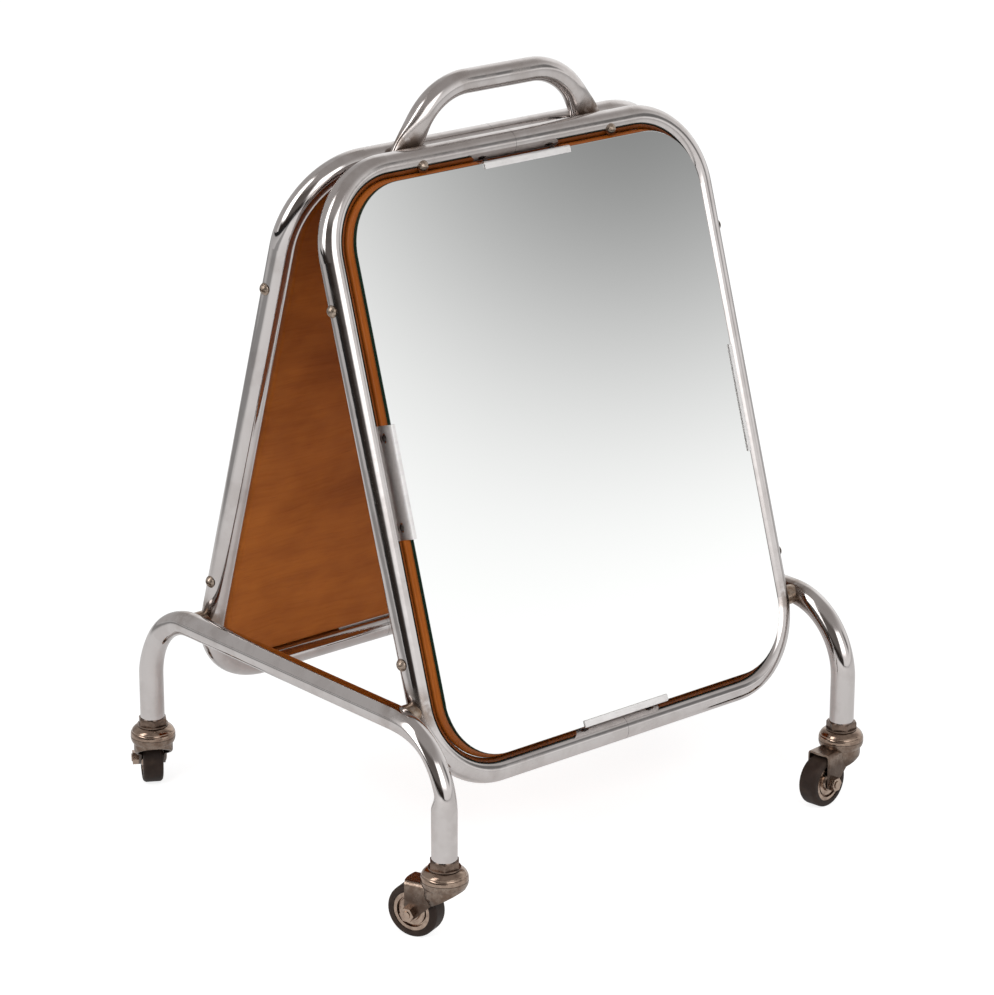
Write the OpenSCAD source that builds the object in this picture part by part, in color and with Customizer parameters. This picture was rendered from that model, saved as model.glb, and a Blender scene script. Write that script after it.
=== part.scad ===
// Double-sided rolling floor mirror. Two mirrored boards sit in loops of bent tube that lean
// together at the top, on two base rails with four swivel casters and a carrying handle.
// Origin on the floor, midway between the casters. +X to the right of the front mirror, +Y to
// the back, +Z up.

/* [Tube] */
// Outside diameter of the frame tube
tube_d = 25; // [22:0.5:27]
// Wall of the frame tube
tube_wall = 1.5; // [1:0.1:2]
// Gap left for braze where one tube is coped onto another
braze_gap = 0.05; // [0.02:0.01:0.2]

/* [Mirror loops] */
// Width of a loop, between the centres of its side tubes
loop_w = 472; // [400:1:520]
// Length of a loop, between the centres of its top and bottom tubes
loop_len = 585; // [500:1:680]
// Centre-line radius of the loop's corners
loop_bend = 78; // [60:1:100]
// Lean of each loop from upright, in degrees
lean = 17; // [13:0.5:20]
// Height of the bottom tube's centre above the floor
loop_z = 131.5; // [115:0.5:150]
// Clear gap between the two top tubes
top_gap = 6.3; // [4:0.1:12]
// Open line where the two halves of a loop butt together
butt_gap = 0.3; // [0.1:0.1:0.6]
// Length of the sleeve inside each butt joint
sleeve_len = 60; // [40:1:90]
// Wall of the sleeve
sleeve_wall = 2; // [1:0.1:3]
// Radial clearance of the sleeve in the tube
sleeve_fit = 0.05; // [0.02:0.01:0.2]

/* [Base rails] */
// Gap between a loop's side tube and the rail beside it
rail_gap = 4.5; // [2:0.1:20]
// Distance between the front and rear legs of a rail
leg_span = 467; // [430:1:520]
// Height of a rail's centre above the floor
rail_z = 204; // [190:1:225]
// Centre-line radius of the rail's bends
rail_bend = 75; // [65:1:82]
// How much bending has drawn the tube's radius down through a bend
bend_draw = 0.2; // [0.1:0.05:0.6]
// Distance from the middle of a front bend's section to its pressed outer side
press_front = 6; // [5:0.1:8]
// The same at the rear bends, which are pressed less
press_rear = 9.5; // [7:0.1:11]
// Radius of the pressed outer side
press_r = 14; // [13:0.5:20]
// Length of full tube above a bend's lower end
full_low = 5; // [2:0.5:8]
// Length of the shoulder from full tube into the pressed section, at a bend's lower end
shoulder_low = 13; // [8:0.5:20]
// Length of the shoulder at a bend's upper end
shoulder_top = 26; // [12:1:32]
// Outside diameter of the stub between a loop and a rail
stub_d = 20; // [14:0.5:22]
// Wall of the stub
stub_wall = 2; // [1:0.1:3]

/* [Handle] */
// Outside diameter of the handle's tube
handle_d = 24; // [22:0.5:25]
// Width of the handle at the height of the top tubes' centres
handle_foot_w = 239; // [215:1:270]
// Width between the corners, where the straight lines of the handle would meet
handle_corner_w = 161; // [140:1:180]
// Height of the handle's centre line above the top tubes' centres
handle_rise = 63.5; // [55:0.5:80]
// Centre-line radius of the handle's two bends
handle_bend = 71; // [45:1:72]
// Height above the top tubes' centres at which the coped feet end
foot_lift = 6; // [5.5:0.1:8]

/* [Boards] */
// Thickness of a board, whose edge is a full half round
board_t = 18; // [16:0.5:19]
// Distance of the board's face in front of the tube's centre plane
board_front = 14; // [13:0.1:15]
// Gap between the board's edge and the tube
board_gap = 0.3; // [0.2:0.1:0.8]

/* [Mirrors] */
// Thickness of the mirror glass
mirror_t = 5; // [4:0.5:6]
// Distance of the glass edge inside the tube's centre line
mirror_inset = 15.3; // [15:0.1:18]
// Bevel ground along the edges of the glass
mirror_arris = 0.6; // [0.5:0.1:0.9]
// Width of the glass margin that follows the corner curve
mirror_margin = 8; // [4:0.5:14]

/* [Clips] */
// Length of a mirror clip
clip_len = 110; // [80:1:130]
// Sheet thickness of a clip
clip_t = 1.2; // [1:0.1:1.4]
// Outer radius of the clip's bend
clip_bend = 2; // [1.8:0.1:2.4]
// Width of the lip over the glass, from the clip's back, on the bottom and top clips
clip_lip_end = 7.2; // [5:0.1:12]
// The same on the right and left clips
clip_lip_side = 5.2; // [5:0.1:12]
// How far each clip sits off the middle of its edge: bottom, right, top, left
clip_shifts = [-4.5, -5, -4.5, 0];
// Depth of the clip's flange behind the board's face
clip_depth = 15; // [10:0.5:16]
// Gap between a clip and the glass
clip_gap = 0.15; // [0.1:0.05:0.3]
// Distance of a clip slot's centre from the clip's end
slot_from_end = 12; // [9:0.5:20]
// Length of a clip slot
slot_len = 10; // [8:0.5:14]
// Width of a clip slot
slot_w = 4.4; // [3.8:0.1:5]
// Distance of the slots behind the board's face
slot_back = 7; // [4:0.1:8]
// Gap between a clip and the notch in the board's edge
notch_gap = 0.1; // [0.05:0.05:0.3]

/* [Screws] */
// Distance between the two board screws on one side of a loop
board_screw_span = 339; // [280:1:380]
// Shank diameter of a board screw
board_screw_d = 4; // [3.5:0.1:5]
// Depth of a board screw in the wood
board_screw_bite = 20; // [14:1:30]
// Head diameter of the round-headed screws
round_head_d = 12.5; // [8:0.1:13]
// Head height of the round-headed screws
round_head_h = 4.2; // [2.4:0.1:5]
// Width of the driver slot
driver_slot = 1.4; // [1:0.1:1.8]
// Shank diameter of a clip screw
clip_screw_d = 3.2; // [2.8:0.1:3.6]
// Head diameter of a clip screw
clip_head_d = 6.8; // [6:0.1:7.4]
// Head height of a clip screw
clip_head_h = 1.8; // [1.2:0.1:2]
// Depth of a clip screw in the wood
clip_screw_bite = 14; // [10:1:18]
// Radial clearance of a screw in its hole
screw_fit = 0.05; // [0.02:0.01:0.2]

/* [Tie bolts] */
// Distance between the two bolts that tie the top tubes together
tie_span = 241; // [200:1:260]
// Distance of the bolts below the top tubes' centres
tie_drop = 3.8; // [0:0.1:5]
// Offset of the pair of bolts to the right of the middle
tie_shift = 3; // [-6:0.5:6]
// Diameter of a tie bolt
tie_d = 5; // [4:0.5:6]
// Width across the flats of a tie nut
tie_nut_af = 9; // [8:0.5:11]
// Height of a tie nut
tie_nut_h = 4; // [3:0.5:6]
// Outside diameter of the spacer on a tie bolt
spacer_d = 10; // [8:0.5:10.5]
// Length of bolt that stands out of a nut
thread_out = 1; // [0.5:0.1:4]

/* [Casters] */
// Height of a leg's end above the floor
leg_end_z = 83; // [80:0.5:90]
// Diameter of a wheel
wheel_d = 53; // [48:0.5:54]
// Width of a tyre
tyre_w = 21; // [17:0.5:22]
// Radial thickness of a tyre
tyre_t = 7; // [5:0.5:9]
// Radius of a tyre's shoulders
tyre_shoulder = 4; // [2:0.5:4.5]
// Distance from the swivel axis to the axle
trail = 30.5; // [28:0.5:34]
// Directions in which the casters trail: front left, front right, rear left, rear right
trail_dirs = [111, -173, 59, 75];
// Length of the plug in a leg's end
plug_len = 32; // [20:1:36]
// Radial clearance of the plug in the tube
plug_fit = 0.05; // [0.02:0.01:0.2]
// Width across the flats of the collar below a leg
collar_af = 27; // [25:0.5:28]
// Height of the collar
collar_h = 8.5; // [6:0.5:9]
// Diameter of the collar's round foot
collar_foot_d = 31.6; // [31:0.1:33]
// Largest diameter of the ball race's two shells
race_d = 46; // [42:0.1:47]
// Rounding radius of the shells
race_round = 10; // [8:0.1:10.4]
// Height of the upper shell
race_h = 11; // [10.6:0.1:12]
// Depth of the fold line pressed round the upper shell
race_fold = 0.45; // [0.2:0.05:0.6]
// Rounding radius of the fold line
fold_r = 2.2; // [1.5:0.1:3]
// Slope at which the fold line lies on the shell, in degrees
fold_slope = 25; // [20:1:30]
// Running gap between the two shells
race_gap = 0.5; // [0.3:0.1:1]
// Diameter of the kingpin
pin_d = 10; // [8:0.5:12]
// Running clearance on the kingpin and on the axle
run_fit = 0.05; // [0.02:0.01:0.1]
// Diameter of a ball
ball_d = 4.8; // [4:0.1:5]
// Diameter of the circle of balls
ball_ring_d = 32; // [26:0.5:33]
// Number of balls in a race
ball_count = 16; // [8:1:18]
// Clearance round a ball
ball_fit = 0.05; // [0.02:0.01:0.1]

/* [Forks] */
// Sheet thickness of a fork
fork_t = 2.2; // [1.6:0.1:2.6]
// Gap between the tyre and a fork's side
fork_gap = 1.2; // [0.8:0.1:2]
// Depth from the shells' parting line to the underside of the crown
crown_drop = 6.1; // [5.5:0.1:7]
// Thickness of the crown under the balls
crown_t = 3.5; // [3:0.1:4]
// Diameter of the skirt below the crown
skirt_d = 40; // [37:0.5:41]
// Height above the floor at which the skirt begins to draw in
skirt_z = 47; // [44:0.5:50]
// Height above the floor at which the skirt has drawn in to the fork's width
skirt_foot_z = 33; // [30:0.5:36]
// Reach of the hood from the swivel axis
hood_reach = 38.5; // [36:0.5:46]
// Rounding of the hood's long edges
hood_round = 5; // [3:0.5:7]
// Drop from the crown's underside to the hood's underside
hood_drop = 0.7; // [0:0.1:1.5]
// Distance of the knee in the fork's lower edge from the swivel axis
knee_x = 7; // [4:0.5:10]
// Height of the knee above the axle
knee_rise = 12; // [8:0.5:16]
// Radius of the fork's ends round the axle
fork_end = 7.5; // [6.5:0.1:8.5]

/* [Axles] */
// Diameter of an axle
axle_d = 8; // [6:0.5:8]
// Width across the flats of an axle's nut
axle_af = 13; // [10:0.5:13]
// Diameter of an axle's low domed head
axle_head_d = 13; // [11:0.5:14]
// Height of an axle's head
axle_head_h = 2; // [1.2:0.1:3]
// Height of an axle's nut
axle_nut_h = 6; // [5:0.1:7]
// Gap left beside heads, nuts and hub ends
side_gap = 0.05; // [0.02:0.01:0.2]

/* [Hubs] */
// Gap between a tyre and its hub
tyre_gap = 0.12; // [0.05:0.01:0.2]
// Wall of the bush in a hub
bush_wall = 2; // [1.5:0.1:3]
// Wall of the hub's boss round the bush
boss_wall = 2.4; // [1.5:0.1:4]
// Gap between a hub's boss and the fork
boss_gap = 0.5; // [0.3:0.1:0.8]
// Width of the hub's outer ring
hub_ring = 3.6; // [2.5:0.1:5]
// Width of the groove inside the ring
hub_groove = 2.2; // [1.5:0.1:3]
// Depth of the groove below the ring's face
groove_depth = 3.4; // [2:0.1:5]
// Distance of the hub ring's face inside the tyre's side
ring_inset = 0.9; // [0.3:0.1:2]
// Distance of the disc's face inside the ring's face
disc_inset = 1; // [0.3:0.1:2]

/* [Hidden] */
$fn = 96;
over = 1;
ENDS = ["front", "rear"];
SIDES = ["left", "right"];
EDGES = ["bottom", "right", "top", "left"];
CASTERS = [for (end = ENDS) for (side = SIDES) str(end, "_", side)];

// Loops
tube_r = tube_d / 2;
loop_x = loop_w / 2;
top_y = top_gap / 2 + tube_r;
top_z = loop_z + loop_len * cos(lean);
low_y = top_y + loop_len * sin(lean);

// Rails
rail_x = loop_x + tube_d + rail_gap;
leg_y = leg_span / 2;
cross_y = low_y - (rail_z - loop_z) * tan(lean);
leg_len = rail_z - rail_bend + full_low - leg_end_z;
rail_len = leg_span - 2 * rail_bend;

// Handle
handle_slope = atan2(handle_rise, (handle_foot_w - handle_corner_w) / 2);
handle_flat = handle_corner_w / 2 - handle_bend * tan(handle_slope / 2);
handle_z = top_z + handle_rise;
leg_start = 0.4;
bead = 0.04;

// Boards: the half-round edge nests beside the tube
board_edge_r = board_t / 2;
board_mid = board_front - board_edge_r;
board_inset = sqrt(pow(tube_r + board_gap + board_edge_r, 2) - pow(board_mid, 2)) - board_edge_r;

// Mirrors and clips, measured inwards from the tube's centre line and forwards of its plane
mirror_front = board_front + mirror_t;
clip_inner = mirror_inset - clip_gap;
clip_outer = clip_inner - clip_t;
clip_top = mirror_front + clip_gap + clip_t;
clip_foot = board_front - clip_depth;
slot_n = board_front - slot_back;
slot_x = clip_len / 2 - slot_from_end;

// Casters, heights above the floor
wheel_r = wheel_d / 2;
race_lip = 0.9;
collar_z = leg_end_z - collar_h;
seam_z = collar_z - race_h;
crown_top = seam_z - race_gap;
crown_z = crown_top - crown_drop;
crown_floor = crown_z + crown_t;
ball_z = (crown_floor + seam_z) / 2;
hood_z = crown_z - hood_drop;
fork_in = tyre_w / 2 + fork_gap;
fork_out = fork_in + fork_t;
axle_r = axle_d / 2;
bush_r = axle_r + run_fit + bush_wall;
hub_r = wheel_r - tyre_t;

// One half of a loop as a solid path, to the right of the middle
module loop_half(grow = 0) {
    r = tube_r + grow;
    run = loop_x - loop_bend - butt_gap / 2;
    for (y = [0, loop_len]) translate([butt_gap / 2, y, 0]) rotate([0, 90, 0]) cylinder(r = r, h = run);
    for (y = [0, 1]) translate([0, y * loop_len, 0]) mirror([0, y, 0])
        translate([loop_x - loop_bend, loop_bend, 0]) rotate([0, 0, -90])
            rotate_extrude(angle = 90) translate([loop_bend, 0]) circle(r = r);
    translate([loop_x, loop_bend, 0]) rotate([-90, 0, 0]) cylinder(r = r, h = loop_len - 2 * loop_bend);
}

// Section of a rail's bend: a round that pressing has flattened on its outer side
module pressed_round(press, grow) {
    intersection() {
        circle(r = tube_r - bend_draw + grow);
        translate([0, press_r - press]) circle(r = press_r + grow);
    }
}

// Rounded shoulder that closes in from r by drop over its length, starting true to the tube
module shoulder(r, drop, length) {
    swell = (pow(length, 2) + pow(drop, 2)) / (2 * drop);
    rotate_extrude() intersection() {
        translate([r - swell, 0]) circle(r = swell);
        square([r, length]);
    }
}

// The whole length of a base rail as a solid path along Y, its pressed bends flattened towards +X
module rail_path(grow = 0, extra = 0) {
    r = tube_r + grow;
    translate([0, -rail_len / 2, rail_z]) rotate([-90, 0, 0]) cylinder(r = r, h = rail_len);
    for (end = [0, 1]) mirror([0, end, 0]) {
        press = [press_front, press_rear][end];
        translate([0, -rail_len / 2, rail_z]) rotate([90, 0, 0])
            shoulder(r, tube_r - press, shoulder_top);
        translate([0, rail_bend - leg_y, rail_z - rail_bend]) rotate([90, 0, -90])
            rotate_extrude(angle = 90) translate([rail_bend, 0]) pressed_round(press, grow);
        translate([0, -leg_y, leg_end_z + leg_len]) shoulder(r, tube_r - press, shoulder_low);
        translate([0, -leg_y, leg_end_z - extra]) cylinder(r = r, h = leg_len + extra);
    }
}

// The handle as a solid path, from the middle to one foot. A faint bead joins bend and leg at any slope
module handle_half(grow = 0) {
    r = handle_d / 2 + grow;
    drop = handle_bend * (1 - cos(handle_slope));
    translate([0, 0, handle_z]) rotate([0, 90, 0]) cylinder(r = r, h = handle_flat);
    translate([handle_flat, 0, handle_z - handle_bend]) rotate([90, 0, 0]) {
        rotate([0, 0, 90]) rotate_extrude(angle = -handle_slope) translate([handle_bend, 0]) circle(r = r);
        rotate([0, 0, 90 - handle_slope]) translate([handle_bend, 0, 0]) {
            sphere(r = r + bead);
            translate([0, -leg_start, 0]) rotate([90, 0, 0])
                cylinder(r = r, h = (handle_rise - drop) / sin(handle_slope) - leg_start);
        }
    }
}

// Places things in a loop's own frame: X across, Y up the slope, Z out through the mirror
module on_loop(end) {
    mirror([0, end == "rear" ? 1 : 0, 0]) translate([0, -low_y, loop_z]) rotate([90 - lean, 0, 0]) children();
}

// Places things at a board screw: Z points out of the loop through its side tube
module at_board_screws(side) {
    for (y = [-1, 1]) translate([side * loop_x, (loop_len + y * board_screw_span) / 2, 0])
        rotate([0, side * 90, 0]) children();
}

// Places things at a loop's edge: X along it, Y inwards from the tube, Z out through the mirror
module at_edge(edge) {
    turn = search([edge], EDGES)[0] * 90;
    across = [[0, 0], [loop_x, loop_len / 2], [0, loop_len], [-loop_x, loop_len / 2]][turn / 90];
    translate(across) rotate([0, 0, turn]) children();
}

// Places things at the clip of an edge
module at_clip(edge) {
    at_edge(edge) translate([clip_shifts[search([edge], EDGES)[0]], 0, 0]) children();
}

// Places things at the clip screws of an edge: Z points out of the board's edge
module at_clip_screws(edge) {
    at_clip(edge) for (x = [-1, 1]) translate([x * slot_x, clip_outer, slot_n]) rotate([90, 0, 0]) children();
}

// Places things at a tie bolt: Z points to the front
module at_ties() {
    for (x = [-1, 1]) translate([tie_shift + x * tie_span / 2, 0, top_z - tie_drop])
        rotate([90, 0, 0]) children();
}

// Places things at a caster: floor level on the swivel axis, X in the direction of trail
module at_caster(name) {
    i = search([name], CASTERS)[0];
    translate([(i % 2 * 2 - 1) * rail_x, (floor(i / 2) * 2 - 1) * leg_y, 0]) rotate([0, 0, trail_dirs[i]])
        children();
}

// Places things on a wheel's axis, with Z pointing to the nut
module on_axle() {
    translate([trail, 0, wheel_r]) rotate([-90, 0, 0]) children();
}

// A panel with rounded corners that keeps clear of the tube by inset. Its middle plane is at Z = 0,
// and its edge has the profile given by the child, drawn from X = 0 outwards to X = margin
module edged_panel(inset, thick, margin) {
    x = loop_x - loop_bend;
    corner = loop_bend - inset - margin;
    translate([0, 0, -thick / 2]) linear_extrude(thick) {
        translate([-x - corner, loop_bend]) square([2 * (x + corner), loop_len - 2 * loop_bend]);
        for (y = [0, 1]) translate([0, y * loop_len]) mirror([0, y]) {
            translate([-x, inset + margin]) square([2 * x, corner]);
            for (side = [-x, x]) translate([side, loop_bend]) intersection() {
                circle(r = corner);
                translate([side < 0 ? -corner : 0, -corner]) square(corner);
            }
        }
    }
    for (y = [0, 1]) translate([0, y * loop_len, 0]) mirror([0, y, 0]) {
        translate([-x, inset + margin, 0]) rotate([0, 90, 0]) rotate([0, 0, -90])
            linear_extrude(2 * x) children();
        for (side = [0, 1]) mirror([side, 0, 0]) translate([x, loop_bend, 0]) rotate([0, 0, -90])
            rotate_extrude(angle = 90) translate([corner, 0]) children();
    }
    for (side = [0, 1]) mirror([side, 0, 0]) translate([x + corner, loop_len - loop_bend, 0])
        rotate([90, 0, 0]) linear_extrude(loop_len - 2 * loop_bend) children();
}

module dome(d, h) {
    r = (pow(d / 2, 2) + pow(h, 2)) / (2 * h);
    intersection() {
        translate([0, 0, h - r]) sphere(r = r);
        cylinder(d = d, h = h);
    }
}

// A slotted screw with a domed head, its head outwards from Z = 0 and its shank below
module round_screw(head_d, head_h, shank_d, length) {
    difference() {
        union() {
            dome(head_d, head_h);
            translate([0, 0, -length]) cylinder(d = shank_d, h = length + head_h / 2);
        }
        translate([-head_d / 2, -driver_slot / 2, head_h / 2]) cube([head_d, driver_slot, head_h]);
    }
}

module hexagon(af, h) {
    cylinder(d = af / cos(30), h = h, $fn = 6);
}

module front_or_rear_loop(end, side) {
    color("silver") difference() {
        on_loop(end) mirror([side < 0 ? 1 : 0, 0, 0]) difference() {
            loop_half();
            loop_half(-tube_wall);
            for (y = [0, loop_len]) translate([0, y, 0]) rotate([0, 90, 0])
                cylinder(r = tube_r - tube_wall, h = over);
            at_board_screws(1) cylinder(d = board_screw_d + 2 * screw_fit, h = tube_d + over, center = true);
        }
        at_ties() cylinder(d = tie_d + 2 * screw_fit, h = 4 * tube_d, center = true);
    }
}

module joining_sleeves() {
    r = tube_r - tube_wall - sleeve_fit;
    color("gray") for (end = ENDS) on_loop(end) for (y = [0, loop_len])
        translate([0, y, 0]) rotate([0, 90, 0]) difference() {
            cylinder(r = r, h = sleeve_len, center = true);
            cylinder(r = r - sleeve_wall, h = sleeve_len + over, center = true);
        }
}

// The feet are coped to sit across both top tubes
module handle() {
    color("silver") difference() {
        for (side = [0, 1]) mirror([side, 0, 0]) handle_half();
        for (side = [0, 1]) mirror([side, 0, 0]) handle_half(-tube_wall);
        for (y = [-top_y, top_y]) translate([0, y, top_z]) rotate([0, 90, 0])
            cylinder(r = tube_r + braze_gap, h = 2 * handle_foot_w, center = true);
        translate([-handle_foot_w, -tube_d, top_z - 2 * tube_d])
            cube([2 * handle_foot_w, 2 * tube_d, 2 * tube_d + foot_lift]);
    }
}

module base_rail(side) {
    color("silver") mirror([side < 0 ? 1 : 0, 0, 0]) translate([rail_x, 0, 0]) difference() {
        rail_path();
        rail_path(-tube_wall, over);
    }
}

// Short tubes coped at both ends, brazed between a loop's side tube and a rail
module rail_stubs() {
    color("peru") for (turn = [[0, 0], [0, 1], [1, 0], [1, 1]])
        mirror([turn[0], 0, 0]) difference() {
        mirror([0, turn[1], 0]) difference() {
            translate([loop_x, -cross_y, rail_z]) rotate([0, 90, 0]) difference() {
                cylinder(d = stub_d, h = rail_x - loop_x);
                translate([0, 0, -over]) cylinder(d = stub_d - 2 * stub_wall, h = rail_x - loop_x + 2 * over);
            }
            on_loop("front") loop_half(braze_gap);
        }
        translate([rail_x, 0, 0]) rail_path(braze_gap);
    }
}

module board(end) {
    color("sienna") on_loop(end) difference() {
        translate([0, 0, board_mid]) edged_panel(board_inset, board_t, board_edge_r) intersection() {
            circle(r = board_edge_r);
            translate([0, -board_edge_r]) square([board_edge_r, board_t]);
        }
        for (edge = EDGES) at_clip(edge) translate([-clip_len / 2 - notch_gap, 0, clip_foot - notch_gap])
            cube([clip_len + 2 * notch_gap, clip_inner + notch_gap, board_t]);
        for (edge = EDGES) at_clip_screws(edge) translate([0, 0, -clip_t - clip_screw_bite - screw_fit])
            cylinder(d = clip_screw_d + 2 * screw_fit, h = clip_screw_bite + clip_t);
        for (side = [-1, 1]) at_board_screws(side) translate([0, 0, -tube_r - board_screw_bite - screw_fit])
            cylinder(d = board_screw_d + 2 * screw_fit, h = board_screw_bite + tube_r);
    }
}

module glass(end) {
    flat = mirror_t / 2 - mirror_arris;
    rim = mirror_margin - mirror_arris;
    color("gainsboro") on_loop(end) translate([0, 0, board_front + mirror_t / 2])
        edged_panel(mirror_inset, mirror_t, mirror_margin)
            polygon([[0, -mirror_t / 2], [rim, -mirror_t / 2], [mirror_margin, -flat],
                [mirror_margin, flat], [rim, mirror_t / 2], [0, mirror_t / 2]]);
}

// Bent sheet: a slotted flange against the board's edge and a lip over the glass
module clip(end, edge) {
    lip = edge == "bottom" || edge == "top" ? clip_lip_end : clip_lip_side;
    color("lightgray") on_loop(end) at_clip(edge) difference() {
        translate([-clip_len / 2, 0, 0]) rotate([90, 0, 90]) linear_extrude(clip_len) {
            translate([clip_outer, clip_foot]) square([clip_t, clip_top - clip_bend - clip_foot]);
            translate([clip_outer + clip_bend, clip_top - clip_t]) square([lip - clip_bend, clip_t]);
            translate([clip_outer + clip_bend, clip_top - clip_bend]) intersection() {
                difference() {
                    circle(r = clip_bend);
                    circle(r = clip_bend - clip_t);
                }
                translate([-clip_bend, 0]) square(clip_bend);
            }
        }
        for (side = [-1, 1]) translate([side * slot_x, 0, slot_n]) rotate([-90, 0, 0]) {
            for (x = [-1, 1]) translate([x * (slot_len - slot_w) / 2, 0, 0])
                cylinder(d = slot_w, h = clip_inner + over);
            translate([(slot_w - slot_len) / 2, -slot_w / 2, 0])
                cube([slot_len - slot_w, slot_w, clip_inner + over]);
        }
    }
}

module clip_screws(end) {
    color("dimgray") on_loop(end) for (edge = EDGES) at_clip_screws(edge)
        round_screw(clip_head_d, clip_head_h, clip_screw_d, clip_t + clip_screw_bite);
}

module board_screws() {
    color("tan") for (end = ENDS) on_loop(end) for (side = [-1, 1]) at_board_screws(side)
        translate([0, 0, tube_r + side_gap])
            round_screw(round_head_d, round_head_h, board_screw_d, tube_d + board_screw_bite);
}

module tie_bolts() {
    reach = top_y + tube_r + side_gap;
    color("tan") at_ties() translate([0, 0, reach])
        round_screw(round_head_d, round_head_h, tie_d, 2 * reach + tie_nut_h + thread_out);
}

module tie_nuts() {
    color("tan") at_ties() translate([0, 0, -top_y - tube_r - side_gap - tie_nut_h]) difference() {
        hexagon(tie_nut_af, tie_nut_h);
        translate([0, 0, -over]) cylinder(d = tie_d + 2 * screw_fit, h = tie_nut_h + 2 * over);
    }
}

module tie_spacers() {
    color("gray") at_ties() difference() {
        cylinder(d = spacer_d, h = top_gap - 2 * side_gap, center = true);
        cylinder(d = tie_d + 2 * screw_fit, h = top_gap + over, center = true);
    }
}

// Turned in one piece: plug in the leg, hexagonal collar, kingpin and its riveted end
module stem(name) {
    rivet_h = 3;
    rivet_top = crown_z - 0.3;
    chamfer = collar_af / 2 + 0.6;
    color("rosybrown") at_caster(name) {
        translate([0, 0, leg_end_z]) cylinder(r = tube_r - tube_wall - plug_fit, h = plug_len);
        intersection() {
            translate([0, 0, collar_z]) hexagon(collar_af, collar_h);
            translate([0, 0, collar_z]) cylinder(r1 = chamfer + collar_h, r2 = chamfer, h = collar_h);
        }
        translate([0, 0, collar_z]) cylinder(d = collar_foot_d, h = 1.5);
        translate([0, 0, rivet_top]) cylinder(d = pin_d, h = collar_z - rivet_top + 1);
        translate([0, 0, rivet_top - rivet_h]) cylinder(d1 = pin_d, d2 = pin_d + 5, h = rivet_h);
    }
}

// Half outline of a race shell, from its open edge up; it is widest a little above that edge
module race_outline(h) {
    core = race_d / 2 - race_round;
    intersection() {
        union() {
            translate([0, -race_lip]) square([core, h + race_lip]);
            translate([core, 0]) circle(r = race_round);
        }
        translate([0, -race_lip]) square([race_d, h + race_lip]);
    }
}

// Fold line round the upper shell
module fold_line() {
    reach = race_round + fold_r - race_fold;
    translate([0, 0, seam_z + race_lip]) rotate_extrude()
        translate([race_d / 2 - race_round + reach * cos(fold_slope), reach * sin(fold_slope)])
            circle(r = fold_r);
}

module ball_groove() {
    translate([0, 0, ball_z]) rotate_extrude() translate([ball_ring_d / 2, 0])
        circle(d = ball_d + 2 * ball_fit);
}

module race_cover(name) {
    color("rosybrown") at_caster(name) difference() {
        translate([0, 0, seam_z + race_lip]) rotate_extrude() race_outline(race_round);
        translate([0, 0, seam_z - over]) cylinder(d = pin_d + 2 * run_fit, h = race_h + 2 * over);
        translate([0, 0, collar_z - side_gap]) cylinder(d = race_d, h = over);
        fold_line();
        ball_groove();
    }
}

module swivel_balls() {
    color("silver") for (name = CASTERS) at_caster(name) for (i = [0:ball_count - 1])
        rotate([0, 0, i * 360 / ball_count]) translate([ball_ring_d / 2, 0, ball_z]) sphere(d = ball_d);
}

// Point where a line from p touches a circle, on its lower side
function touch(p, c, r) =
    let (d = norm(c - p), a = atan2(c[1] - p[1], c[0] - p[0]) - 180 + acos(r / d)) c + r * [cos(a), sin(a)];

// Side view of a fork: sloping open back, a knee, and a round end about the axle
module fork_side() {
    axle = [trail, wheel_r];
    back = -race_d / 2 - over;
    knee = [knee_x, wheel_r + knee_rise];
    polygon([[back, collar_z], [back, crown_z], knee, touch(knee, axle, fork_end), axle,
        [trail + fork_end, wheel_r], [hood_reach + over, crown_z], [hood_reach + over, collar_z]]);
    translate(axle) circle(r = fork_end);
}

// Cross-section of the fork's channel, rounded along its top edges
module channel(half, top, round) {
    translate([-half, 0]) square([2 * half, top - round]);
    translate([round - half, 0]) square([2 * (half - round), top]);
    for (x = [-1, 1]) translate([x * (half - round), top - round]) circle(r = round);
}

module along_x(length) {
    rotate([90, 0, 90]) linear_extrude(length) children();
}

// Pressed in one piece: lower race shell and crown, skirt, hood and the two sides
module fork(name) {
    color("rosybrown") at_caster(name) difference() {
        intersection() {
            union() {
                translate([0, 0, crown_top - race_lip]) mirror([0, 0, 1])
                    rotate_extrude() race_outline(crown_drop);
                translate([0, 0, skirt_z]) cylinder(d = skirt_d, h = crown_z + crown_t / 2 - skirt_z);
                translate([0, 0, skirt_foot_z])
                    cylinder(r1 = fork_out, r2 = skirt_d / 2, h = skirt_z - skirt_foot_z);
                along_x(hood_reach) channel(fork_out, hood_z + fork_t, hood_round);
            }
            rotate([90, 0, 0]) linear_extrude(2 * race_d, center = true) fork_side();
            cylinder(r = hood_reach, h = leg_end_z);
        }
        translate([0, 0, skirt_z]) cylinder(d = skirt_d - 2 * fork_t, h = crown_z - skirt_z);
        translate([0, 0, skirt_foot_z])
            cylinder(r1 = fork_in, r2 = skirt_d / 2 - fork_t, h = skirt_z - skirt_foot_z);
        along_x(hood_reach + over) channel(fork_in, hood_z, hood_round - fork_t);
        translate([0, 0, crown_z - over]) cylinder(d = pin_d + 2 * run_fit, h = 2 * crown_drop);
        translate([0, 0, crown_floor]) cylinder(r = ball_ring_d / 2 + ball_d / 2 + 0.6, h = crown_drop);
        ball_groove();
        on_axle() cylinder(d = axle_d + 2 * run_fit, h = 3 * fork_out, center = true);
    }
}

module axle(name) {
    seat = fork_out + side_gap;
    color("rosybrown") at_caster(name) on_axle() {
        translate([0, 0, -seat]) cylinder(d = axle_d, h = 2 * seat + axle_nut_h + thread_out);
        translate([0, 0, -seat]) mirror([0, 0, 1]) dome(axle_head_d, axle_head_h);
    }
}

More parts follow.
